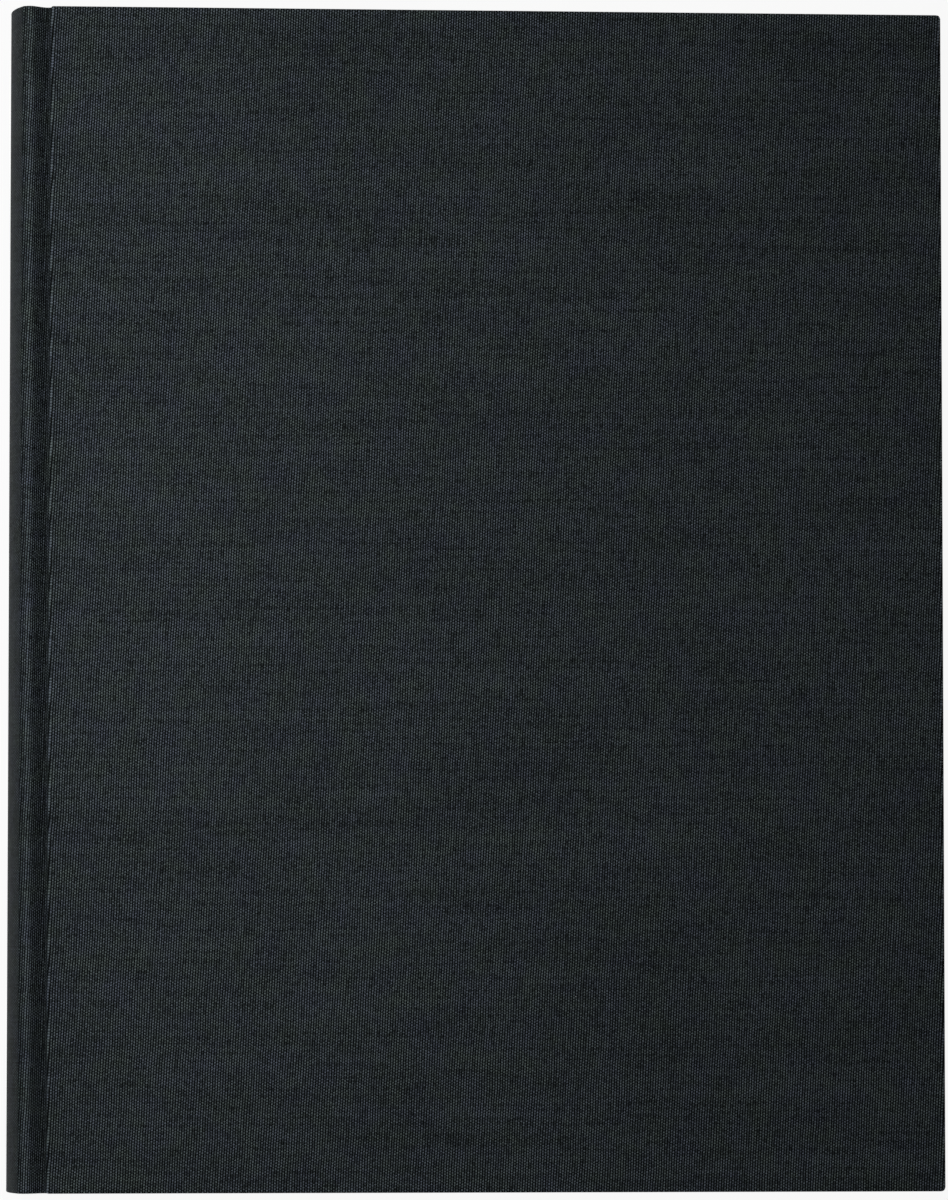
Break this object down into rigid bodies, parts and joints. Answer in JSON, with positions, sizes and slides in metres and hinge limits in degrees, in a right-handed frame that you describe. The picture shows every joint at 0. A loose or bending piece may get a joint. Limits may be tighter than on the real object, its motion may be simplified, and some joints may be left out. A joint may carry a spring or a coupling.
{
  "type": "ledger book",
  "caption": "Case-bound ledger: cloth-covered boards with pressed joint grooves, a rounded spine, and a rounded and backed leaf block for written accounts.",
  "frame": {"origin": "centre of the back cover's outer face, on which the closed book lies", "axes": "+X from the spine to the fore-edge, +Y from the tail to the head, +Z from the back cover to the front cover"},
  "size_m": [0.2266, 0.2866, 0.025],
  "materials": {
    "book_cloth": "black plain-weave book cloth, starched, dull",
    "board": "grey pressed board",
    "leaf_paper": "white ledger paper, trimmed edges",
    "end_paper": "plain white endpaper",
    "mull": "open-weave sized cotton",
    "lining_paper": "brown kraft paper",
    "headband": "black and white striped cotton bead"
  },
  "bodies": {
    "text": {"text_block": "leaf_paper", "front_flyleaf": "end_paper", "back_flyleaf": "end_paper", "spine_mull": "mull", "spine_lining": "lining_paper", "head_band": "headband", "tail_band": "headband", "spine_inlay": "board", "cover_cloth_spine": "book_cloth"},
    "front_cover": {"front_board": "board", "cover_cloth_front": "book_cloth", "front_pastedown": "end_paper", "mull_flange_front": "mull"},
    "back_cover": {"back_board": "board", "cover_cloth_back": "book_cloth", "back_pastedown": "end_paper", "mull_flange_back": "mull"}
  },
  "joints": [
    {"name": "front_cover_hinge", "type": "hinge", "parent": "text", "child": "front_cover", "pos_m": [-0.1047, 0, 0.0253], "axis": [0, -1, 0], "range_deg": [0, 180]},
    {"name": "back_cover_hinge", "type": "hinge", "parent": "text", "child": "back_cover", "pos_m": [-0.1047, 0, -0.0003], "axis": [0, 1, 0], "range_deg": [0, 180]}
  ]
}
